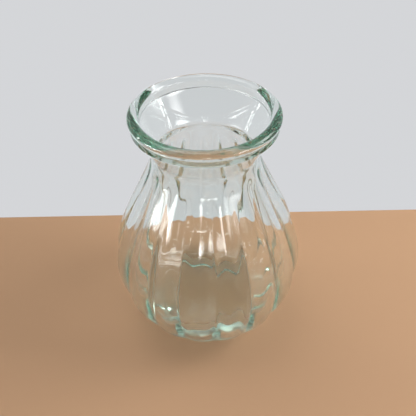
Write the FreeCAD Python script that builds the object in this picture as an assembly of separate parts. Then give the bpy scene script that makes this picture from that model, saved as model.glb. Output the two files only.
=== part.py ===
# Ribbed glass bulb vase: one piece of clear glass, in millimetres, +Z up.
# The origin is the centre of the foot, on the surface that the vase stands on.

import FreeCAD, Part
import math
import os

Vector = FreeCAD.Vector

# Overall sizes
overall_height = 125.0
body_diameter = 95.5        # over the crests of the lobes
rim_diameter = 68.0         # over the rim bead
neck_diameter = 48.6        # outside, at the narrowest part of the waist
foot_diameter = 56.0        # outer edge of the ring that touches the table

# Heights along the vase
belly_height = 39.0         # where the body is widest
lower_body_radius = 49.0    # vertical half-axis of the rounded lower half
waist_drop = 21.5           # from the top of the rim down to the waist
waist_blend = 3.0           # height over which the shoulder, and the flare above it, blend into the waist
heel_height = 2.6           # top of the rounded heel, where the lobes begin

# Lobes
lobe_count = 16
groove_depth = 2.1          # of a groove below the crests, where it is deepest
groove_peak_share = 0.36    # height of the deepest place, as a share of the lobed height
groove_fade_share = 0.5     # power with which the grooves fade towards the waist: the less, the later
shoulder_lean_share = 0.85  # slope at which the shoulder runs into the waist
section_count = 12          # steps between the cross-sections of the lobed body

# Glass thickness
body_wall = 3.3             # at the belly, behind a crest
neck_wall = 3.5
collar_wall = 4.4           # at the top of the collar, measured level
base_thickness = 7.5
floor_corner_height = 9.0   # rounded corner between the inner floor and the wall
floor_corner_width = 12.0
floor_dish = 0.8            # how far the middle of the inner floor lies below its edge

# Foot
foot_ring_width = 4.5
recess_depth = 1.2
recess_edge_width = 7.0     # over which the recess comes down to the ring
recess_lean_share = 0.5     # slope at which it meets the ring

# Rim bead, and the fine ring between it and the collar
bead_round = 2.3            # radius of the bead's section, outside and inside
bead_top_width = 0.6        # between the outer and the inner round
ring_height = 2.6           # from the bottom of the bead down to the bottom of the ring
ring_step = 0.8             # from the side of the bead in to the side of the ring
ring_round = 0.6            # lower edge of the ring
collar_step = 1.1           # from the side of the ring in to the collar

cut_overrun = 5.0

body_radius = body_diameter / 2
rim_radius = rim_diameter / 2
neck_radius = neck_diameter / 2
foot_radius = foot_diameter / 2

waist_height = overall_height - waist_drop
lobe_top = waist_height - waist_blend
lobed_height = lobe_top - heel_height
floor_corner_top = base_thickness + floor_corner_height

bead_middle_height = overall_height - bead_round
bead_outer_centre = rim_radius - bead_round
bead_inner_centre = bead_outer_centre - bead_top_width
ring_radius = rim_radius - ring_step
ring_bottom = bead_middle_height - bead_round - ring_height
collar_top_radius = ring_radius - collar_step
collar_slope = (collar_top_radius - neck_radius) / (ring_bottom - waist_height)


def crest_radius(z):
    """Outer radius over the crests at height z: an oval below the belly, a shoulder curve above it."""
    if z <= belly_height:
        drop_share = (belly_height - z) / lower_body_radius
        return body_radius * math.sqrt(1 - drop_share**2)
    rise_share = (z - belly_height) / (waist_height - belly_height)
    swell_share = 2 * rise_share**3 - 3 * rise_share**2 + 1
    lean_share = shoulder_lean_share * (rise_share**2 - rise_share**3)
    return neck_radius + (body_radius - neck_radius) * (swell_share + lean_share)


def groove_depth_at(z):
    """Depth of the grooves at height z: nothing at either end of the lobes, deepest near the belly."""
    share = (z - heel_height) / lobed_height
    if share <= groove_peak_share:
        return groove_depth * math.sin(math.pi / 2 * share / groove_peak_share)
    fade = math.cos(math.pi / 2 * (share - groove_peak_share) / (1 - groove_peak_share))
    return groove_depth * max(fade, 0)**groove_fade_share


def inner_radius(z):
    """Radius of the smooth inside wall at height z, from the belly's wall to the neck's."""
    share = (z - belly_height) / (waist_height - belly_height)
    wall = body_wall + (neck_wall - body_wall) * max(share, 0)
    return crest_radius(z) - wall


def point(radius, z):
    """Point of a turned outline."""
    return Vector(radius, 0, z)


def line(start, end):
    """Straight edge."""
    return Part.LineSegment(start, end).toShape()


def smooth_curve(points, start_slope, end_slope):
    """Smooth edge through the points, which leaves and arrives along the two slopes."""
    start_slope.normalize()
    end_slope.normalize()
    curve = Part.BSplineCurve()
    curve.interpolate(Points=points, InitialTangent=start_slope, FinalTangent=end_slope)
    return curve.toShape()


def round_arc(centre, radius, start_angle, end_angle):
    """Part of a circle in a turned outline, with its angles measured up from the level outward direction."""
    def at(angle):
        return centre + Vector(radius * math.cos(angle), 0, radius * math.sin(angle))

    return Part.Arc(at(start_angle), at((start_angle + end_angle) / 2), at(end_angle)).toShape()


def turned(edges):
    """Solid made by turning a closed outline about the axis of the vase."""
    face = Part.Face(Part.Wire(edges))
    return face.revolve(Vector(0, 0, 0), Vector(0, 0, 1), 360)


def lobed_section(z):
    """Closed outline at height z, one arc for each lobe, with four of the crests on the X and Y axes."""
    crest = crest_radius(z)
    groove = crest - groove_depth_at(z)
    half_step = math.pi / lobe_count

    def at(radius, angle):
        return Vector(radius * math.cos(angle), radius * math.sin(angle), z)

    arcs = []
    for lobe in range(lobe_count):
        middle = 2 * half_step * lobe
        arc = Part.Arc(at(groove, middle - half_step), at(crest, middle), at(groove, middle + half_step))
        arcs.append(arc.toShape())
    return Part.Wire(arcs)


def lobed_body():
    """Solid body from the heel to just under the waist."""
    sections = []
    for step in range(section_count + 1):
        sections.append(lobed_section(heel_height + lobed_height * step / section_count))
    return Part.makeLoft(sections, True, False)


def foot():
    """Rounded heel, the ring that the vase stands on, and the shallow recess inside it."""
    heel_top = point(crest_radius(heel_height), heel_height)
    ring_outer = point(foot_radius, 0)
    ring_inner = point(foot_radius - foot_ring_width, 0)
    recess_edge = point(ring_inner.x - recess_edge_width, recess_depth)
    recess_middle = point(0, recess_depth)
    middle = point(0, heel_height)
    heel_slope = point(crest_radius(2 * heel_height), 2 * heel_height) - heel_top
    return turned([
        smooth_curve([ring_outer, heel_top], Vector(1, 0, 0), heel_slope),
        line(heel_top, middle),
        line(middle, recess_middle),
        line(recess_middle, recess_edge),
        smooth_curve([recess_edge, ring_inner], Vector(1, 0, 0), Vector(1, 0, -recess_lean_share)),
        line(ring_inner, ring_outer),
    ])


def cavity():
    """Space inside the body, from the dished inner floor to just under the waist."""
    floor_middle = point(0, base_thickness - floor_dish)
    floor_edge = point(inner_radius(floor_corner_top) - floor_corner_width, base_thickness)
    corner_top = point(inner_radius(floor_corner_top), floor_corner_top)
    wall_height = lobe_top - floor_corner_top
    wall_points = []
    for step in range(section_count + 1):
        z = floor_corner_top + wall_height * step / section_count
        wall_points.append(point(inner_radius(z), z))
    wall_start_slope = wall_points[1] - wall_points[0]
    wall_end_slope = wall_points[-1] - wall_points[-2]
    top_edge = point(wall_points[-1].x, lobe_top + cut_overrun)
    top_middle = point(0, lobe_top + cut_overrun)
    return turned([
        smooth_curve([floor_middle, floor_edge], Vector(1, 0, 0), Vector(floor_corner_width, 0, floor_dish)),
        smooth_curve([floor_edge, corner_top], Vector(floor_corner_width, 0, floor_dish), wall_start_slope),
        smooth_curve(wall_points, wall_start_slope, wall_end_slope),
        line(wall_points[-1], top_edge),
        line(top_edge, top_middle),
        line(top_middle, floor_middle),
    ])


def collar_and_rim():
    """Ring of glass above the body: waist, flared collar, fine ring and rim bead."""
    shoulder_outer = point(crest_radius(lobe_top), lobe_top)
    shoulder_inner = point(inner_radius(lobe_top), lobe_top)
    waist_outer = point(neck_radius, waist_height)
    waist_inner = point(neck_radius - neck_wall, waist_height)
    flare_start = point(neck_radius + collar_slope * waist_blend, waist_height + waist_blend)
    collar_top = point(collar_top_radius, ring_bottom)
    collar_top_inner = point(collar_top_radius - collar_wall, ring_bottom)
    outer_slope = shoulder_outer - point(crest_radius(lobe_top - waist_blend), lobe_top - waist_blend)
    inner_slope = shoulder_inner - point(inner_radius(lobe_top - waist_blend), lobe_top - waist_blend)

    round_centre = point(ring_radius - ring_round, ring_bottom + ring_round)
    ring_low = point(ring_radius - ring_round, ring_bottom)
    ring_side = point(ring_radius, ring_bottom + ring_round)
    outer_centre = point(bead_outer_centre, bead_middle_height)
    inner_centre = point(bead_inner_centre, bead_middle_height)
    meeting_angle = -math.acos((ring_radius - bead_outer_centre) / bead_round)
    ring_top = point(ring_radius, bead_middle_height + bead_round * math.sin(meeting_angle))
    bead_inner = point(bead_inner_centre - bead_round, bead_middle_height)
    return turned([
        smooth_curve([shoulder_outer, waist_outer, flare_start], outer_slope, Vector(collar_slope, 0, 1)),
        line(flare_start, collar_top),
        line(collar_top, ring_low),
        round_arc(round_centre, ring_round, -math.pi / 2, 0),
        line(ring_side, ring_top),
        round_arc(outer_centre, bead_round, meeting_angle, math.pi / 2),
        line(point(bead_outer_centre, overall_height), point(bead_inner_centre, overall_height)),
        round_arc(inner_centre, bead_round, math.pi / 2, math.pi),
        smooth_curve([bead_inner, collar_top_inner, waist_inner, shoulder_inner], Vector(0, 0, -1),
                     inner_slope * -1),
        line(shoulder_inner, shoulder_outer),
    ])


def glass_vase():
    """The whole vase, one solid piece of glass."""
    body = foot().fuse(lobed_body()).cut(cavity())
    return body.fuse(collar_and_rim())


os.makedirs("parts", exist_ok=True)
vase = glass_vase()
print("solids", len(vase.Solids), "valid", vase.isValid(), "volume in cubic mm", round(vase.Volume))
vase.Solids[0].exportStep("parts/glass_vase.step")
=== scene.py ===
import math

import bpy
from mathutils import Matrix, Vector


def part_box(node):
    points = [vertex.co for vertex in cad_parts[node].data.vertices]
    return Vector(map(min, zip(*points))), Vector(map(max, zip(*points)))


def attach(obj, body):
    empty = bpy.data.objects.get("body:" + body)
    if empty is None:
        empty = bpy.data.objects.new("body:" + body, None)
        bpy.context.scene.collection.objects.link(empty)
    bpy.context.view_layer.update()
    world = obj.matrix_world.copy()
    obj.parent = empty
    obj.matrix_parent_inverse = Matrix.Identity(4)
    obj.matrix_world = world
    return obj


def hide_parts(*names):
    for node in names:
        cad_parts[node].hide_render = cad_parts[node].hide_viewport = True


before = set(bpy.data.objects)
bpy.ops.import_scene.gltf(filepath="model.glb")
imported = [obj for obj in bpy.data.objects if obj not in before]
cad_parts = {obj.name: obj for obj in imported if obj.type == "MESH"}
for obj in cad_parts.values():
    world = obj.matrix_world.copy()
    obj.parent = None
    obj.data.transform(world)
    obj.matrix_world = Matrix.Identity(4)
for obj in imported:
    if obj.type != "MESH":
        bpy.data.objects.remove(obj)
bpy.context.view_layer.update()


# The vase
# One piece of clear soda-lime glass with a faint green tint, formed in one mould. The turned outline runs
# from the recess under the foot, up the outside, over the rim bead and down the inside to the inner floor.
# The mould then presses its sixteen grooves between the heel and the waist, and the inside follows softly.

low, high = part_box("glass_vase")
height = high.z - low.z
body_radius = high.x
rim_radius = 0.034
neck_radius = 0.0243
foot_radius = 0.028

belly_height = 0.039
lower_body_radius = 0.049
waist_drop = 0.0215
waist_blend = 0.003
waist_pinch = 0.00015
heel_height = 0.0026
shoulder_lean = 0.85

body_wall = 0.0033
neck_wall = 0.0035
collar_wall = 0.0044
base_thickness = 0.0075
floor_corner_height = 0.009
floor_corner_width = 0.012
floor_dish = 0.0008

recess_depth = 0.0012
recess_lip_width = 0.0016
recess_lip_height = 0.0008
recess_flat_share = 2 / 3
foot_ring_width = 0.0045
foot_round = 0.0006

bead_half_width = 0.0026
bead_half_height = 0.0023
ring_height = 0.0026
ring_step = 0.0008
ring_round = 0.0006
collar_step = 0.0011
collar_round = 0.0005

lobe_count = 16
columns_per_lobe = 16

waist_height = height - waist_drop
lobe_top = waist_height - waist_blend
floor_corner_top = base_thickness + floor_corner_height
bead_middle = Vector((rim_radius - bead_half_width, height - bead_half_height))
ring_radius = rim_radius - ring_step
ring_bottom = height - 2 * bead_half_height - ring_height
collar_top_radius = ring_radius - collar_step
collar_slope = (collar_top_radius - neck_radius) / (ring_bottom - waist_height)


def crest_radius(z):
    """Outer radius over the lobes' crests at height z: an oval below the belly, a shoulder above it."""
    if z <= belly_height:
        return body_radius * math.sqrt(1 - ((belly_height - z) / lower_body_radius) ** 2)
    rise = (z - belly_height) / (waist_height - belly_height)
    swell = 2 * rise**3 - 3 * rise**2 + 1 + shoulder_lean * (rise**2 - rise**3)
    return neck_radius + (body_radius - neck_radius) * swell


def inner_radius(z):
    """Radius of the inside wall at height z."""
    rise = max((z - belly_height) / (waist_height - belly_height), 0)
    return crest_radius(z) - body_wall - (neck_wall - body_wall) * rise


def between(start, end, steps):
    """Evenly spaced values after start, up to and with end."""
    return [start + (end - start) * step / steps for step in range(1, steps + 1)]


def straight(points, end, steps):
    """Goes on from the last point to end in a straight line."""
    start = points[-1]
    points += [start.lerp(end, share) for share in between(0, 1, steps)]


def curve(points, handle, end_handle, end, steps):
    """Goes on from the last point to end in a smooth curve with two handles."""
    start = points[-1]
    for t in between(0, 1, steps):
        s = 1 - t
        points.append(s**3 * start + 3 * s * s * t * handle + 3 * s * t * t * end_handle + t**3 * end)


def bead_point(angle):
    """Point of the rim bead's oval section."""
    return bead_middle + Vector((bead_half_width * math.cos(angle), bead_half_height * math.sin(angle)))


def foot_outline():
    """Points from the middle of the recess, over the ring that the vase stands on, to the heel's top."""
    corner = Vector((foot_radius - foot_ring_width, 0))
    lip = Vector((-recess_lip_width, recess_lip_height))
    flat_end = Vector((corner.x * recess_flat_share, recess_depth))
    heel_top = Vector((crest_radius(heel_height), heel_height))
    heel_lean = (Vector((crest_radius(2 * heel_height), 2 * heel_height)) - heel_top).normalized()
    reach = heel_height / 2

    foot = [Vector((0, recess_depth))]
    curve(foot, flat_end, corner + lip, corner + lip.normalized() * foot_round, steps=14)
    curve(foot, corner, corner, corner + Vector((foot_round, 0)), steps=6)
    straight(foot, Vector((foot_radius, 0)), steps=4)
    curve(foot, Vector((foot_radius + reach, 0)), heel_top - heel_lean * reach, heel_top, steps=12)
    return foot


def collar_outline(shoulder):
    """Points from the shoulder up the outside: waist, flare, fine ring and bead, to the top of the bead."""
    waist = Vector((neck_radius - waist_pinch, waist_height))
    flare_start = Vector((neck_radius + collar_slope * waist_blend, waist_height + waist_blend))
    collar_top = Vector((collar_top_radius, ring_bottom))
    lean = (collar_top - flare_start).normalized()
    ring_corner = Vector((ring_radius, ring_bottom))
    meeting = -math.acos((ring_radius - bead_middle.x) / bead_half_width)
    after = meeting + collar_round / bead_half_height
    crease = Vector((ring_radius, bead_middle.y + bead_half_height * math.sin(meeting)))

    collar = [shoulder]
    curve(collar, waist, waist, flare_start, steps=12)
    straight(collar, collar_top - lean * collar_round, steps=10)
    curve(collar, collar_top, collar_top, collar_top + Vector((collar_round, 0)), steps=5)
    curve(collar, ring_corner, ring_corner, ring_corner + Vector((0, ring_round)), steps=6)
    straight(collar, crease - Vector((0, collar_round)), steps=4)
    curve(collar, crease, crease, bead_point(after), steps=5)
    collar += [bead_point(angle) for angle in between(after, math.pi / 2, steps=24)]
    return collar[1:]


def inner_collar_outline():
    """Points from the top of the bead down the inside of the collar, to just under the waist."""
    collar = [bead_point(angle) for angle in between(math.pi / 2, math.pi, steps=18)]
    collar_inner = Vector((collar_top_radius - collar_wall, ring_bottom))
    waist_inner = Vector((neck_radius - neck_wall, waist_height))
    wall_top = Vector((inner_radius(lobe_top - waist_blend), lobe_top - waist_blend))
    flare = (collar_inner - waist_inner).normalized()
    reach = (collar[-1] - collar_inner).length / 2

    curve(collar, collar[-1] - Vector((0, reach)), collar_inner + flare * reach, collar_inner, steps=8)
    straight(collar, waist_inner + flare * waist_blend * 2, steps=8)
    curve(collar, waist_inner, waist_inner, wall_top, steps=12)
    return collar


def floor_outline(wall):
    """Points from the foot of the inside wall to the middle of the floor: a round corner, and the dish."""
    lean = (wall[-1] - wall[-2]).normalized()
    floor_edge = Vector((wall[-1].x - floor_corner_width, base_thickness))
    floor_middle = Vector((0, base_thickness - floor_dish))
    reach = floor_corner_height / 2
    level = Vector((reach, 0))

    corner = wall[-1:]
    curve(corner, corner[0] + lean * reach, floor_edge + level, floor_edge, steps=14)
    floor = corner[-1:]
    curve(floor, floor_edge - level, floor_middle + level, floor_middle, steps=12)
    return corner[1:], floor[1:]


def turned_vase():
    """Closed mesh of the turned outline, whose give tells how far each point yields to the mould."""
    foot = foot_outline()
    body = [Vector((crest_radius(z), z)) for z in between(heel_height, lobe_top, steps=96)]
    collar = collar_outline(body[-1])
    inner_collar = inner_collar_outline()
    wall = [Vector((inner_radius(z), z)) for z in between(inner_collar[-1].y, floor_corner_top, steps=56)]
    corner, floor = floor_outline(wall)

    # The give is 1 where the mould presses the outside, and -1 where the inside follows, which fades out in
    # the corner of the floor. It is 0 elsewhere.
    give = [0.0] * len(foot) + [1.0] * len(body) + [0.0] * (len(collar) + len(inner_collar))
    give += [-1.0] * len(wall) + [share - 1 for share in between(0, 1, len(corner))] + [0.0] * len(floor)
    outline = foot + body + collar + inner_collar + wall + corner + floor

    # The columns lie closer together near the grooves, where the mould bends the glass most.
    angles = []
    for lobe in range(lobe_count):
        for column in range(columns_per_lobe):
            place = math.sin(math.pi * (column / columns_per_lobe - 0.5))
            angles.append((lobe + place / 2) * math.tau / lobe_count)

    verts, weights = [(0, 0, outline[0].y)], [0.0]
    for point, weight in zip(outline[1:-1], give[1:-1]):
        for angle in angles:
            verts.append((point.x * math.cos(angle), point.x * math.sin(angle), point.y))
            weights.append(weight)
    verts.append((0, 0, outline[-1].y))
    weights.append(0.0)

    rows, columns = len(outline) - 2, len(angles)
    faces = []
    for column in range(columns):
        beside = (column + 1) % columns
        faces.append((0, 1 + beside, 1 + column))
        for row in range(rows - 1):
            start, above = 1 + row * columns, 1 + (row + 1) * columns
            faces.append((start + column, start + beside, above + beside, above + column))
        last = 1 + (rows - 1) * columns
        faces.append((last + column, last + beside, len(verts) - 1))
    mesh = bpy.data.meshes.new("turned_vase")
    mesh.from_pydata(verts, [], faces)
    mesh.attributes.new("give", "FLOAT", "POINT").data.foreach_set("value", weights)
    return mesh


def node(tree, kind, *inputs, **settings):
    """Adds a node to a tree, gives its first inputs these values or links, and returns it."""
    made = tree.nodes.new(kind)
    for name, value in settings.items():
        setattr(made, name, value)
    for socket, value in zip(made.inputs, inputs):
        if isinstance(value, bpy.types.NodeSocket):
            tree.links.new(value, socket)
        elif value is not None:
            socket.default_value = value
    return made


def maths(tree, kind, *inputs):
    """Adds a maths node to a tree and returns its result."""
    return node(tree, "ShaderNodeMath", *inputs, operation=kind).outputs[0]


def mapped(tree, value, start, end, to_start, to_end, **settings):
    """Turns a range of values into another one, and holds it at its ends."""
    return node(tree, "ShaderNodeMapRange", value, start, end, to_start, to_end, **settings).outputs[0]


def mould_tree():
    """Presses grooves into a turned shape, all round and between two heights, and waves its surface."""
    tree = bpy.data.node_groups.new("Lobed mould", "GeometryNodeTree")
    tree.interface.new_socket(name="Geometry", in_out="OUTPUT", socket_type="NodeSocketGeometry")
    tree.interface.new_socket(name="Geometry", in_out="INPUT", socket_type="NodeSocketGeometry")
    names = ["Lobe Count", "Groove Depth", "Groove Rounding", "Heel Height", "Lobe Top", "Deepest Share",
             "Heel Softness", "Shoulder Fullness", "Fade Share", "Inside Share", "Wave Height",
             "Wave Middle", "Wave Size", "Outside Wave Share", "Seed"]
    for name in names:
        tree.interface.new_socket(name=name, in_out="INPUT", socket_type="NodeSocketFloat")
    tree.interface.new_socket(name="Glass", in_out="INPUT", socket_type="NodeSocketMaterial")
    given = tree.nodes.new("NodeGroupInput").outputs

    def do(kind, *inputs):
        return maths(tree, kind, *inputs)

    def eased(share):
        """Holds a share between 0 and 1, and lets it level off towards 1."""
        return do("SINE", do("MULTIPLY", do("MINIMUM", do("MAXIMUM", share, 0.0), 1.0), math.pi / 2))

    # Across a lobe, from -1 at one groove to 1 at the next: a round crest, with rounded grooves beside it.
    place = node(tree, "GeometryNodeInputPosition").outputs[0]
    x, y, z = node(tree, "ShaderNodeSeparateXYZ", place).outputs
    turn = do("DIVIDE", do("ARCTAN2", y, x), math.tau)
    across = do("MULTIPLY", do("WRAP", do("MULTIPLY", turn, given["Lobe Count"]), 0.5, -0.5), 2.0)
    from_groove = do("SUBTRACT", 1.0, do("ABSOLUTE", across))
    rounding = do("POWER", given["Groove Rounding"], 2.0)
    rounded = do("SQRT", do("ADD", do("POWER", from_groove, 2.0), rounding))
    groove = do("POWER", do("SUBTRACT", 1.0, rounded), 2.0)
    soft_groove = do("MULTIPLY_ADD", do("COSINE", do("MULTIPLY", across, math.pi)), -0.5, 0.5)

    # Up the body: the grooves deepen from the heel to their deepest place, and fade towards the waist.
    rise = do("SUBTRACT", z, given["Heel Height"])
    rise = do("DIVIDE", rise, do("SUBTRACT", given["Lobe Top"], given["Heel Height"]))
    below = eased(do("DIVIDE", rise, given["Deepest Share"]))
    below = do("POWER", below, given["Heel Softness"])
    above = eased(do("DIVIDE", do("SUBTRACT", 1.0, rise), do("SUBTRACT", 1.0, given["Deepest Share"])))
    fade = mapped(tree, above, 0.0, given["Fade Share"], 0.0, 1.0, interpolation_type="SMOOTHSTEP")
    above = do("MULTIPLY", do("POWER", above, given["Shoulder Fullness"]), fade)
    depth = do("MULTIPLY", do("MINIMUM", below, above), given["Groove Depth"])

    # The outside takes the grooves, and the inside follows them softly by a share of their depth.
    give = node(tree, "GeometryNodeInputNamedAttribute", "give", data_type="FLOAT").outputs[0]
    outside = do("MAXIMUM", give, 0.0)
    inside = do("MAXIMUM", do("MULTIPLY", give, -1.0), 0.0)
    soft = do("MULTIPLY", do("MULTIPLY", inside, given["Inside Share"]), soft_groove)
    press = do("MULTIPLY", depth, do("ADD", do("MULTIPLY", outside, groove), soft))

    # Slow waves with no finer detail, fullest on the inside, which no mould touches.
    detail = 0.0
    noise = node(tree, "ShaderNodeTexNoise", place, given["Seed"], given["Wave Size"], detail,
                 noise_dimensions="4D").outputs[0]
    wave = do("MULTIPLY", do("SUBTRACT", noise, given["Wave Middle"]), given["Wave Height"])
    elsewhere = do("ADD", outside, do("SUBTRACT", 1.0, do("ABSOLUTE", give)))
    wave = do("MULTIPLY", wave, do("ADD", inside, do("MULTIPLY", elsewhere, given["Outside Wave Share"])))

    outward = node(tree, "ShaderNodeCombineXYZ", x, y, 0.0).outputs[0]
    outward = node(tree, "ShaderNodeVectorMath", outward, operation="NORMALIZE").outputs[0]
    shift = node(tree, "ShaderNodeVectorMath", outward, operation="SCALE")
    tree.links.new(do("SUBTRACT", wave, press), shift.inputs["Scale"])
    moved = node(tree, "GeometryNodeSetPosition", given["Geometry"])
    tree.links.new(shift.outputs[0], moved.inputs["Offset"])
    real = node(tree, "GeometryNodeRealizeInstances", moved.outputs[0]).outputs[0]
    smooth = node(tree, "GeometryNodeSetShadeSmooth", real).outputs[0]
    finished = node(tree, "GeometryNodeSetMaterial", smooth)
    tree.links.new(given["Glass"], finished.inputs["Material"])
    node(tree, "NodeGroupOutput", finished.outputs[0])
    return tree


def vase_glass():
    """Clear glass, green where light runs through a lot of it, with a fire-polished skin and a worn foot."""
    glass = bpy.data.materials.new("clear_green_glass")
    glass.use_nodes = True
    tree = glass.node_tree
    shader = tree.nodes["Principled BSDF"]
    shader.inputs["Base Color"].default_value = (0.985, 1.0, 0.993, 1.0)
    shader.inputs["Transmission Weight"].default_value = 1.0
    shader.inputs["IOR"].default_value = 1.52

    # The skin has faint ripples, drawn out along the height of the vase.
    ripple_scale, ripple_detail, ripple_roughness = 260.0, 2.0, 0.5
    ripple_strength, ripple_height = 0.035, 0.0004
    drawn_out = (1.0, 1.0, 0.12)
    place = node(tree, "ShaderNodeTexCoord").outputs["Object"]
    drawn = node(tree, "ShaderNodeMapping", place, None, None, drawn_out).outputs[0]
    ripple = node(tree, "ShaderNodeTexNoise", drawn, None, ripple_scale, ripple_detail, ripple_roughness)
    bump = node(tree, "ShaderNodeBump", ripple_strength, ripple_height)
    tree.links.new(ripple.outputs[0], bump.inputs["Height"])
    tree.links.new(bump.outputs[0], shader.inputs["Normal"])

    # The foot ring is dull from standing and being pushed about, and the rest has faint smudges.
    wear_bottom, wear_top, worn_roughness = 0.0001, 0.0014, 0.3
    smudge_scale, smudge_detail, smudge_breakup = 30.0, 3.0, 0.6
    smudge_start, smudge_full = 0.5, 0.75
    clean_roughness, smudged_roughness = 0.01, 0.05
    z = node(tree, "ShaderNodeSeparateXYZ", place).outputs[2]
    worn = mapped(tree, z, wear_bottom, wear_top, worn_roughness, 0.0)
    smudge = node(tree, "ShaderNodeTexNoise", place, None, smudge_scale, smudge_detail, smudge_breakup)
    smudged = mapped(tree, smudge.outputs[0], smudge_start, smudge_full, clean_roughness, smudged_roughness)
    tree.links.new(maths(tree, "MAXIMUM", worn, smudged), shader.inputs["Roughness"])

    # Some of a lamp's light goes straight through each surface, because a clear vase's shadow is light.
    straight_through = 0.7
    shadow = node(tree, "ShaderNodeLightPath").outputs["Is Shadow Ray"]
    solid = maths(tree, "MULTIPLY_ADD", shadow, -straight_through, 1.0)
    tree.links.new(solid, shader.inputs["Alpha"])

    tint_colour, tint_density = (0.42, 0.70, 0.60, 1.0), 16.0
    tint = node(tree, "ShaderNodeVolumeAbsorption", tint_colour, tint_density)
    tree.links.new(tint.outputs[0], tree.nodes["Material Output"].inputs["Volume"])
    return glass


mould = mould_tree()
vase = bpy.data.objects.new("pressed_vase", turned_vase())
bpy.context.scene.collection.objects.link(vase)
press = vase.modifiers.new("mould", "NODES")
press.node_group = mould
mould_sizes = {
    "Lobe Count": lobe_count,
    "Groove Depth": 0.0037,
    "Groove Rounding": 0.11,
    "Heel Height": heel_height,
    "Lobe Top": lobe_top,
    "Deepest Share": 0.36,
    "Heel Softness": 1.4,
    "Shoulder Fullness": 0.5,
    "Fade Share": 0.18,
    "Inside Share": 0.4,
    "Wave Height": 0.0006,
    "Wave Middle": 0.62,
    "Wave Size": 36.0,
    "Outside Wave Share": 0.3,
    "Seed": 3.0,
    "Glass": vase_glass(),
}
for socket in mould.interface.items_tree:
    if socket.name in mould_sizes:
        press[socket.identifier] = mould_sizes[socket.name]

settled = bpy.context.evaluated_depsgraph_get()
glass_mesh = bpy.data.meshes.new_from_object(vase.evaluated_get(settled))
vase.modifiers.remove(press)
vase.data = glass_mesh
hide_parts("glass_vase")
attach(vase, "root")


# The table top
# A plain board in a pale wood colour, which the vase stands on near its far edge. It isn't part of the
# object, and lies a hair under the foot, so that the glass and the paint don't share a face.

view_turn = math.radians(6.65)        # how far the photograph looks round the vase from the Y axis
board_far, board_near, board_half_width = 0.072, -1.6, 1.6
board_thickness, board_gap = 0.018, 0.0001
board_colour = (0.53, 0.32, 0.185, 1.0)

board = bpy.data.meshes.new("board")
outline = [(-board_half_width, board_near), (board_half_width, board_near),
           (board_half_width, board_far), (-board_half_width, board_far)]
corners = [(x, y, z) for z in (-board_thickness, -board_gap) for x, y in outline]
sides = [(side, (side + 1) % 4, (side + 1) % 4 + 4, side + 4) for side in range(4)]
board.from_pydata(corners, [], [(3, 2, 1, 0), (4, 5, 6, 7)] + sides)
board.transform(Matrix.Rotation(view_turn, 4, "Z"))
floor = bpy.data.objects.new("board", board)
bpy.context.scene.collection.objects.link(floor)
paint = bpy.data.materials.new("pale_board")
paint.use_nodes = True
coat = paint.node_tree.nodes["Principled BSDF"].inputs
coat["Base Color"].default_value = board_colour
coat["Roughness"].default_value = 0.6
coat["Specular IOR Level"].default_value = 0.15
board.materials.append(paint)


# The light
# Soft lamps, each brightest in its middle. Far off are windows to the front, and tall strips at the sides
# that draw the edges of the glass. Nearer are a broad lamp overhead, and one that lights the board's right.

lamp_distance = 4.0
glow_start, glow_end, glow_strength = 0.1, 0.5, 2.2
vase_middle = Vector((0.0, 0.0, height / 2))


def soft_lamp(name, place, aim, width, tall, brightness):
    """A rectangular lamp at a place, aimed at a point, which fades from its middle to its edges."""
    lamp = bpy.data.lights.new(name, "AREA")
    lamp.shape = "RECTANGLE"
    lamp.size, lamp.size_y, lamp.energy = width, tall, brightness * math.pi * width * tall
    lamp.use_nodes = True
    tree = lamp.node_tree
    across = node(tree, "ShaderNodeNewGeometry").outputs["Parametric"]
    from_middle = node(tree, "ShaderNodeVectorMath", across, (0.5, 0.5, 0.0), operation="DISTANCE")
    glow = mapped(tree, from_middle.outputs["Value"], glow_start, glow_end, glow_strength, 0.0,
                  interpolation_type="SMOOTHSTEP")
    tree.links.new(glow, tree.nodes["Emission"].inputs["Strength"])
    made = bpy.data.objects.new(name, lamp)
    made.location = place
    made.rotation_euler = (place - aim).to_track_quat("Z", "Y").to_euler()
    made.visible_camera = False
    bpy.context.scene.collection.objects.link(made)


def panel(name, right, up, width, tall, brightness):
    """A far lamp as the vase sees it: degrees right of straight back, degrees up, and size in degrees."""
    level = Matrix.Rotation(view_turn - math.radians(right), 3, "Z")
    towards = level @ Vector((0.0, 1.0, math.tan(math.radians(up))))
    span = 2 * lamp_distance * math.tan(math.radians(width) / 2)
    rise = 2 * lamp_distance * math.tan(math.radians(tall) / 2)
    soft_lamp(name, vase_middle + towards.normalized() * lamp_distance, vase_middle, span, rise, brightness)


panel("window_left", right=-106, up=2, width=44, tall=9, brightness=16)
panel("window_front", right=179, up=5.5, width=24, tall=6, brightness=6.5)
panel("window_right", right=128, up=11, width=44, tall=18, brightness=6.5)
panel("strip_right", right=97, up=12, width=4, tall=27, brightness=17)
panel("strip_left", right=-77, up=12, width=4, tall=27, brightness=17)

overhead_place = Vector((-0.3, 0.2, 1.3))
side_place = Vector((0.5, 0.1, 0.42))
right_of_vase = Vector((0.15, 0.0, 0.0))
soft_lamp("overhead", overhead_place, vase_middle, width=1.6, tall=1.6, brightness=1.3)
soft_lamp("side", side_place, right_of_vase, width=0.5, tall=0.5, brightness=4.0)


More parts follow.
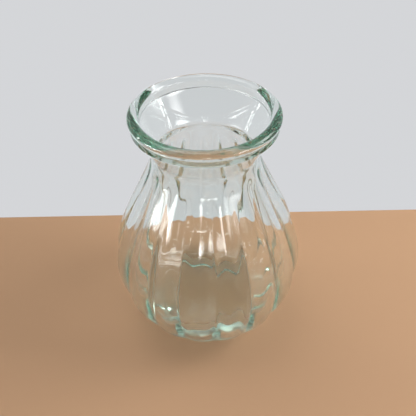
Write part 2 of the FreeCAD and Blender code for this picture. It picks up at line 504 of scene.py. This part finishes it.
# The surround
# A pale wall behind the vase, which the glass shows. It darkens round to the front and overhead, as a room
# does, so that the front of the glass doesn't turn milky with reflections.

wall_colour = (0.66, 0.67, 0.69, 1.0)
room_colour = (0.12, 0.12, 0.125, 1.0)
room_end, wall_start = -0.5, 0.35
ceiling_start, ceiling_full, ceiling_strength = 0.25, 0.8, 0.25

world = bpy.data.worlds.new("pale_surround")
world.use_nodes = True
bpy.context.scene.world = world
sky = world.node_tree
direction = node(sky, "ShaderNodeTexCoord").outputs["Generated"]
back = (-math.sin(view_turn), math.cos(view_turn), 0.0)
facing = node(sky, "ShaderNodeVectorMath", direction, back, operation="DOT_PRODUCT").outputs["Value"]
wall_share = mapped(sky, facing, room_end, wall_start, 0.0, 1.0, interpolation_type="SMOOTHSTEP")
mix = node(sky, "ShaderNodeMix", wall_share, data_type="RGBA")
mix.inputs["A"].default_value = room_colour
mix.inputs["B"].default_value = wall_colour
upward = node(sky, "ShaderNodeSeparateXYZ", direction).outputs[2]
strength = mapped(sky, upward, ceiling_start, ceiling_full, 1.0, ceiling_strength,
                  interpolation_type="SMOOTHSTEP")
sky.links.new(strength, sky.nodes["Background"].inputs["Strength"])
sky.links.new(mix.outputs["Result"], sky.nodes["Background"].inputs["Color"])


# The camera
# It stands where the photograph was taken from, looking down into the mouth, and is rolled by a degree.
# Light crosses many surfaces of glass in the rim and the base, so its paths may be long.

eye = Vector((0.0007, -0.2143, 0.2560))
down = math.radians(41.26)
roll = math.radians(-1.1)
lens = bpy.data.cameras.new("camera")
lens.angle = math.radians(40.0)
camera = bpy.data.objects.new("camera", lens)
turn = Matrix.Rotation(view_turn, 4, "Z")
camera.matrix_world = (turn @ Matrix.Translation(eye) @ Matrix.Rotation(math.pi / 2 - down, 4, "X")
                       @ Matrix.Rotation(roll, 4, "Z"))
bpy.context.scene.collection.objects.link(camera)
bpy.context.scene.camera = camera
bpy.context.scene.view_settings.view_transform = "Standard"
bpy.context.scene.cycles.max_bounces = 48
bpy.context.scene.cycles.glossy_bounces = 32
bpy.context.scene.cycles.transmission_bounces = 32
